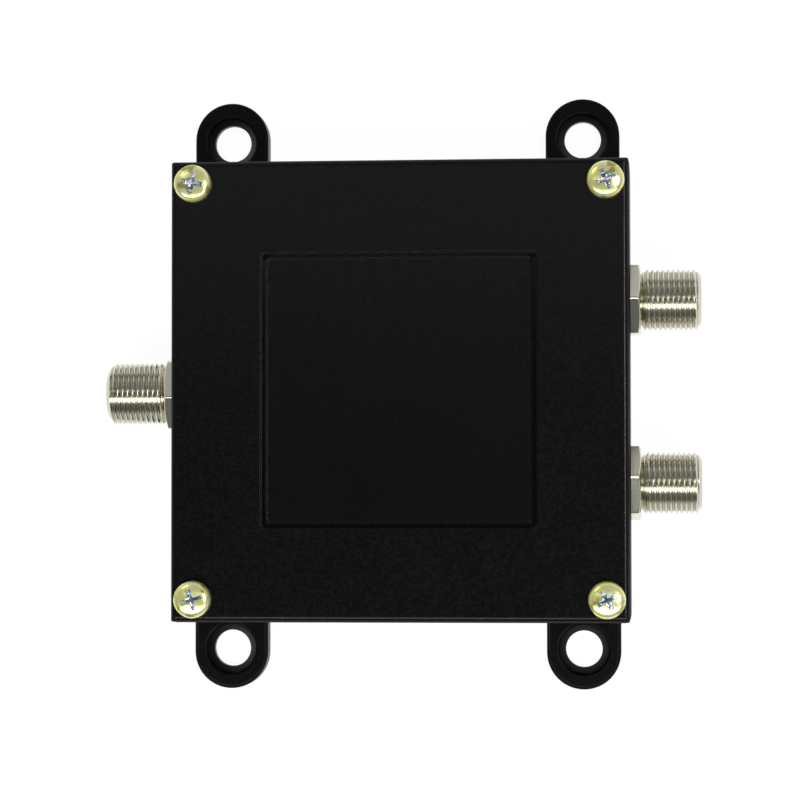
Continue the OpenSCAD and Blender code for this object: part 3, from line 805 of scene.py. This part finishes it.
upper_width, upper_corner = recess_steps[0]
lower_width, lower_corner = recess_steps[-1]
recess = [square(upper_width + 2 * band, upper_corner, lid_top)]
for level, (width, corner) in enumerate(recess_steps):
    for run, drop in zip(runs, drops):
        recess.append(square(width - 2 * run, corner, lid_top - level * step_drop - drop))
recess.append(square(lower_width - 2 * step_run - band, lower_corner, recess_floor))

# The ledge lies between the last loop of the first step and the first loop of the second.
recess_marks = np.zeros(len(recess))
recess_marks[[len(runs), len(runs) + 1]] = ledge_mark
lid_skin.wrap(recess, recess_marks[:, None])
lid_skin.flat([recess[-1]])
print("the recess has", len(recess), "loops, and each step runs in", round(step_run, 3), "mm")

# %% [markdown]
# A Boolean could cut the screw holes, but it leaves ragged triangles round them. Here each hole is
# a stack of rings, and the flat top leaves the holes' circles out. The bars below are stacks of
# loops, and the flat underside leaves their tops and the holes out in the same way.

# %% The lid's screw holes
hole_radius, hole_round = 1.65, 0.12
hole_bend = 0.3 * hole_round
hole_profile = [(hole_radius + hole_round + band, lid_top), (hole_radius + hole_round, lid_top),
                (hole_radius + hole_bend, lid_top - hole_bend), (hole_radius, lid_top - hole_round),
                (hole_radius, lid_bottom)]
tops, bottoms = [], []
for x in (-post_x, post_x):
    for y in (-post_y, post_y):
        hole = [ring(round_turns, radius, height) + (x, y, 0) for radius, height in hole_profile]
        lid_skin.wrap(hole)
        tops.append(hole[0])
        bottoms.append(hole[-1])
lid_skin.flat([outline[-1], recess[0]] + tops)
print("holes in the lid:", len(tops))

# %% The lid's bars and underside
lip_bottom, lip_thick, lip_round = 15.2, 1.2, 0.12
lip_corner, lip_foot_corner = 0.2, 0.15
# Each bar's width, depth and middle.
lip_bars = [(lip_thick, 57.5, side * 32.2, 0) for side in (-1, 1)]
lip_bars += [(57, lip_thick, 0, side * 32.45) for side in (-1, 1)]
bar_tops = []
for width, depth, x, y in lip_bars:
    bar = [loop(width, depth, lip_corner, lid_bottom, (x, y)),
           loop(width, depth, lip_corner, lip_bottom + lip_round, (x, y)),
           loop(width - 2 * lip_round, depth - 2 * lip_round, lip_foot_corner, lip_bottom, (x, y))]
    lid_skin.wrap(bar)
    lid_skin.flat([bar[-1]])
    bar_tops.append(bar[0])
lid_skin.flat([outline[0]] + bottoms + bar_tops)
shape("lid_plate", lid_skin, lid_coat, "lid", ["lid"])

# %% [markdown]
# The label lies on the recess's floor. It could be a bare plane, but even a sheet this thin shows
# its edge as a line of light, so it has a thickness and a rounded upper edge.

# %% The label
label_width, label_thick, label_corner, label_round = 40.4, 0.06, 0.5, 0.02
label_top = recess_floor + label_thick
sheet = [square(label_width, label_corner, recess_floor)]
for rise, inward in quarter(3):
    sheet.append(square(label_width - 2 * label_round * inward, label_corner,
                        label_top - label_round * (1 - rise)))
label_skin = Skin()
label_skin.wrap(sheet)
label_skin.flat([sheet[0]])
label_skin.flat([sheet[-1]])
shape("label_sheet", label_skin, label_foil, "lid", ["label"])

# %% [markdown]
# Solder wets the metal and climbs it, so a joint is a small bell that runs out thin at its foot.
# Each bead is a stack of ovals whose height falls off like a cosine.

# %% Solder
track_top = 8.5
pin_joint_x, chip_joint_y = 27.6, 1.65
section_ends_x = [-9.633, 3.633, 16.9]
bead_turns = even_angles(32)
bead_shares = np.linspace(1, 0.04, 10)
bead_fullness = 0.8


def bead(length, depth, height):
    skin = Skin()
    stack = []
    for share in bead_shares:
        level = height * (0.5 + 0.5 * math.cos(math.pi * share)) ** bead_fullness
        stack.append(ring(bead_turns, share, level) * (length, depth, 1))
    skin.wrap(stack)
    skin.flat([stack[-1]])
    skin.flat([stack[0]])
    return skin


pin_places = [Matrix.Translation((side * pin_joint_x, y, track_top)) for side, y, turn in sockets.values()]
chip_places = [Matrix.Translation((x, side * chip_joint_y, track_top))
               for x in section_ends_x for side in (-1, 1)]
pin_bead = bead(length=1.25, depth=1.1, height=0.85)
chip_bead = bead(length=0.72, depth=0.5, height=0.5)
shape("pin_solder", pin_bead, tin, "box", ["solder_joints"], pin_places, sharp=60)
shape("chip_solder", chip_bead, tin, "box", ["solder_joints"], chip_places, sharp=60)

# %% [markdown]
# The other solids are already the right shape, so they stay and only get finishes. Cast and
# stamped parts have no knife edges, though. A Weld joins the points that the solid's faces don't
# share, a Decimate merges flat triangles back into whole faces, and a Bevel rounds the edges.
# Then an Edge Split and a Weighted Normal keep flat faces flat and edges crisp.

# %% Soften and finish the solids that stay
solid_weld_gap = 0.001 * mm
flat_angle, bevel_angle, crisp_angle = math.radians(1), math.radians(40), math.radians(32)


def dress(node, finish_used, edge_radius=0.0):
    """Gives a solid its finish, and rounds its edges by a radius in millimetres."""
    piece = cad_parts[node]
    for material_slot in piece.material_slots:
        material_slot.material = finish_used
    weld = piece.modifiers.new("weld", "WELD")
    weld.merge_threshold = solid_weld_gap
    if edge_radius:
        whole = piece.modifiers.new("whole_faces", "DECIMATE")
        whole.decimate_type = "DISSOLVE"
        whole.angle_limit = flat_angle
        soft = piece.modifiers.new("soft_edges", "BEVEL")
        soft.width = edge_radius * mm
        soft.segments = 2
        soft.limit_method = "ANGLE"
        soft.angle_limit = bevel_angle
    split = piece.modifiers.new("crisp_edges", "EDGE_SPLIT")
    split.split_angle = crisp_angle
    shading = piece.modifiers.new("even_shading", "WEIGHTED_NORMAL")
    shading.keep_sharp = True


dress("housing", cast_coat, edge_radius=0.2)
for name in sockets:
    dress(name + "_nut", nickel, edge_radius=0.06)
    dress(name + "_washer", spring_steel)
    dress(name + "_insulator", white_plastic)
    dress(name + "_rear_insulator", white_plastic)
    dress(name + "_contact", contact_bronze)
dress("circuit_board", board_laminate)
dress("ground_plane", copper)
dress("divider_tracks", copper)
dress("resistor_chips", chip_glaze, edge_radius=0.04)
dress("resistor_caps", tin, edge_radius=0.05)
print("dressed", sum(1 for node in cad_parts.values() if not node.hide_render), "solids")

# %% [markdown]
# The photograph has a pure white ground, and it's the floor that gives it. A floor lit to white
# would glare on the black box, so it mixes in a plain glow for what the camera and the metal see.
# The rest of the mix stays an ordinary white surface that takes the box's shadow. From below the
# floor is clear, so that the underside can be looked at.

# %% The floor
floor_radius, floor_drop = 4, 0.02 * mm
floor_mesh = bpy.data.meshes.new("studio_floor")
floor_draft = bmesh.new()
bmesh.ops.create_circle(floor_draft, cap_ends=True, segments=96, radius=floor_radius)
floor_draft.to_mesh(floor_mesh)
floor_draft.free()
floor = bpy.data.objects.new("studio_floor", floor_mesh)
floor.location.z = -floor_drop
bpy.context.scene.collection.objects.link(floor)
print("floor", floor_radius * 2, "m across")

# %% The floor's finish
glow_share, glow_level = 0.9, 1.06
white, paper_white = (1, 1, 1), (0.92, 0.92, 0.92)
floor_finish = bpy.data.materials.new("white_floor")
floor_finish.use_nodes = True
bench = Bench(floor_finish.node_tree)
kinds_of_ray = ("Is Camera Ray", "Is Glossy Ray", "Is Transmission Ray")
by_camera, by_gloss, by_glass = [bench.node("LightPath", output=kind) for kind in kinds_of_ray]
seen = by_camera + by_gloss + by_glass
paper = bench.node("BsdfDiffuse", None, {"Color": paper_white})
glow = bench.node("Emission", None, {"Color": white, "Strength": glow_level})
lit = bench.node("MixShader", None, {0: glow_share * seen, 1: paper, 2: glow})
below = bench.node("NewGeometry", output="Backfacing")
clear = bench.node("BsdfTransparent", None, {"Color": white})
whole_floor = bench.node("MixShader", None, {0: below, 1: lit, 2: clear})
bench.node("OutputMaterial", None, {"Surface": whole_floor})
floor_mesh.materials.append(floor_finish)
print("floor finish", len(floor_finish.node_tree.nodes), "nodes")

# %% [markdown]
# The room is the world's colour, which changes with the direction and has no image behind it. It
# is white low down all round, greyer above, and dim overhead. High at the back hangs a paler
# board, which the upper side of each socket's thread reflects.

# %% The white room
def grey(level):
    return (level, level, level)


white_wall = (1.0, 0.99, 0.97)
front_level, back_level, board_level, ceiling_level = 0.15, 0.25, 0.62, 0.06

world = bpy.data.worlds.new("white_room")
world.use_nodes = True
bpy.context.scene.world = world
bench = Bench(world.node_tree)
direction = bench.node("TexCoord", output="Generated")
height = bench.node("SeparateXYZ", None, {"Vector": direction}, "Z")
behind = bench.node("SeparateXYZ", None, {"Vector": direction}, "Y")
front_side = bench.blend(height.step(0.02, 0.24), white_wall, grey(front_level))
back_side = bench.blend(height.step(0.02, 0.26), white_wall, grey(back_level))
board = height.step(0.34, 0.44) * (1 - height.step(0.62, 0.74))
back_side = bench.blend(board, back_side, grey(board_level))
sides = bench.blend(behind.step(-0.15, 0.35), front_side, back_side)
room = bench.blend(height.step(0.90, 0.985), sides, grey(ceiling_level))
background = bench.node("Background", None, {"Color": room, "Strength": 1.0})
bench.node("OutputWorld", None, {"Surface": background})
print("room", len(world.node_tree.nodes), "nodes")

# %% [markdown]
# Four soft boxes light the part, and the metal tells where they stand. Each socket has a bright
# stripe just below its axis, so the key stands in front. The thinner line above the axis comes
# from a strip behind, and the short bright line on the lid's right edge from a box on the right.
# A last one at the back left lights the far side of the screws' heads. A lamp's power is worked
# out from the light that it gives a flat white card, so that moving it keeps its level.

# %% The soft boxes
def soft_box(name, place, width, depth, level):
    """An area lamp aimed at the tap; at level 1 a flat white card shows as white."""
    lamp = bpy.data.lights.new(name, "AREA")
    lamp.shape = "RECTANGLE"
    lamp.size, lamp.size_y = width, depth
    towards = Vector(place)
    lamp.energy = level * (math.pi * towards.length) ** 2 / towards.normalized().z
    holder = bpy.data.objects.new(name, lamp)
    holder.matrix_world = towards.to_track_quat("Z", "Y").to_matrix().to_4x4()
    holder.location = towards
    bpy.context.scene.collection.objects.link(holder)
    print(name, "power", round(lamp.energy, 2), "at", [round(x, 2) for x in holder.location])


soft_box("key_soft_box", (0.0, -0.36, 0.70), width=1.10, depth=0.18, level=0.57)
soft_box("back_strip", (0.0, 0.13, 0.79), width=0.80, depth=0.06, level=0.031)
soft_box("side_soft_box", (0.36, 0.03, 0.72), width=0.20, depth=0.14, level=0.18)
soft_box("corner_soft_box", (-0.36, 0.40, 0.60), width=0.24, depth=0.20, level=0.036)

bpy.context.scene.view_settings.view_transform = "Standard"

# %% [markdown]
